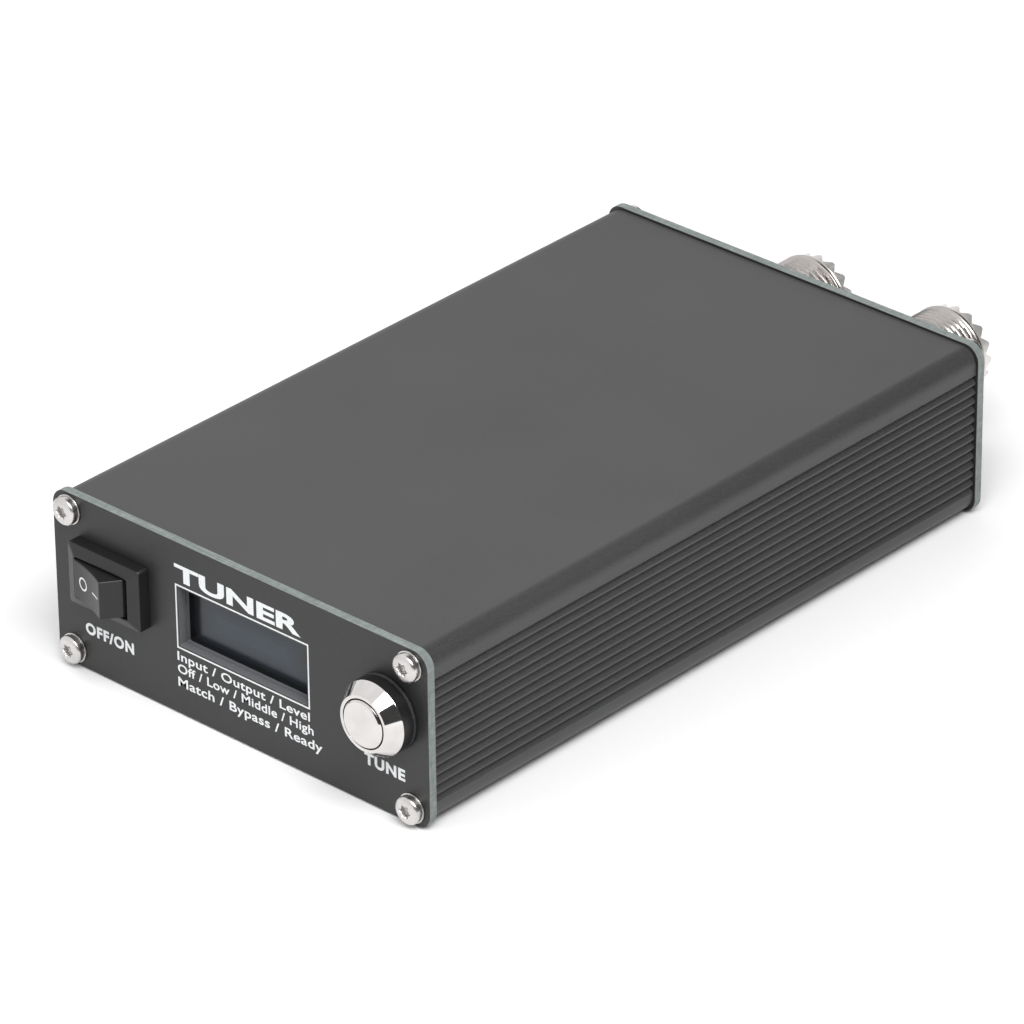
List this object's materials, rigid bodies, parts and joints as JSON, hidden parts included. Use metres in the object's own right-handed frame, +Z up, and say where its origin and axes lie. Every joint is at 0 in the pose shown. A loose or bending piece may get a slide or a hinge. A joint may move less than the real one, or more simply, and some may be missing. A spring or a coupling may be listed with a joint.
{
  "type": "antenna tuner",
  "caption": "Small automatic antenna tuner: fluted extruded case with screwed end panels, rocker power switch, display window, tuning button and two threaded UHF sockets behind.",
  "frame": {"origin": "centre of the bounding box's base: the lower edge of the end panels, midway across and midway between the rocker's raised end and the sockets' teeth", "axes": "+X to the right as the front panel is faced, +Y from the front panel to the rear sockets, +Z up"},
  "size_m": [0.08, 0.1582, 0.0308],
  "materials": {
    "anodised_aluminium": "bead-blasted, black anodised",
    "panel_laminate": "satin black solder mask on glass-epoxy board, white print, pale sawn edge",
    "screw_steel": "bright stainless",
    "switch_plastic": "semi-gloss black moulding",
    "chrome": "bright polished plating",
    "nickel": "warm nickel plate",
    "rubber": "matt black",
    "display_glass": "glossy dark display glass",
    "white_plastic": "off-white fluoropolymer",
    "brass": "bright",
    "copper": "enamelled or bare copper",
    "circuit_laminate": "green solder mask",
    "relay_plastic": "blue moulded relay covers",
    "ferrite": "painted powdered iron"
  },
  "bodies": {
    "case": {"case_shell": "anodised_aluminium", "front_panel": "panel_laminate", "rear_panel": "panel_laminate", "front_screw_upper_left": "screw_steel", "front_washer_upper_left": "screw_steel", "front_screw_upper_right": "screw_steel", "front_washer_upper_right": "screw_steel", "front_screw_lower_left": "screw_steel", "front_washer_lower_left": "screw_steel", "front_screw_lower_right": "screw_steel", "front_washer_lower_right": "screw_steel", "rear_screw_upper_left": "screw_steel", "rear_washer_upper_left": "screw_steel", "rear_screw_upper_right": "screw_steel", "rear_washer_upper_right": "screw_steel", "rear_screw_lower_left": "screw_steel", "rear_washer_lower_left": "screw_steel", "rear_screw_lower_right": "screw_steel", "rear_washer_lower_right": "screw_steel", "power_switch_housing": "switch_plastic", "power_switch_terminal_pivot": "brass", "power_switch_terminal_output": "brass", "tune_button_body": "chrome", "tune_button_oring": "rubber", "tune_button_nut": "nickel", "tune_button_spring": "screw_steel", "tune_button_base": "switch_plastic", "tune_button_terminal_upper": "brass", "tune_button_terminal_lower": "brass", "display_spacer": "switch_plastic", "display_glass": "display_glass", "display_board": "circuit_laminate", "display_header": "switch_plastic", "input_socket_body": "nickel", "input_socket_insulator": "white_plastic", "input_socket_contact": "brass", "input_socket_nut": "nickel", "output_socket_body": "nickel", "output_socket_insulator": "white_plastic", "output_socket_contact": "brass", "output_socket_nut": "nickel", "supply_jack_body": "switch_plastic", "supply_jack_pin": "nickel", "supply_jack_nut": "nickel", "main_board": "circuit_laminate", "relay_bank_left": "relay_plastic", "relay_bank_right": "relay_plastic", "inductor_core_1": "ferrite", "inductor_winding_1": "copper", "inductor_core_2": "ferrite", "inductor_winding_2": "copper", "inductor_core_3": "ferrite", "inductor_winding_3": "copper", "match_transformer": "ferrite", "voltage_regulator": "switch_plastic", "microcontroller": "switch_plastic", "bulk_capacitor": "switch_plastic"},
    "rocker": {"power_switch_rocker": "switch_plastic"},
    "contact": {"power_switch_contact": "copper"},
    "button_cap": {"tune_button_cap": "chrome"}
  },
  "joints": [
    {"name": "power_rocker", "type": "hinge", "parent": "case", "child": "rocker", "pos_m": [-0.027, -0.07344, 0.01835], "axis": [0, 0, 1], "range_deg": [0, 36]},
    {"name": "contact_tilt", "type": "hinge", "parent": "case", "child": "contact", "pos_m": [-0.027, -0.0687, 0.01835], "axis": [0, 0, 1], "range_deg": [-14, 0]},
    {"name": "tune_press", "type": "slide", "parent": "case", "child": "button_cap", "axis": [0, 1, 0], "range_m": [0, 0.0012], "stiffness_N_per_m": 800, "deforming": ["tune_button_spring"]}
  ],
  "couplings": [
    {"joint": "contact_tilt", "follows": "power_rocker", "ratio": -0.38889}
  ]
}
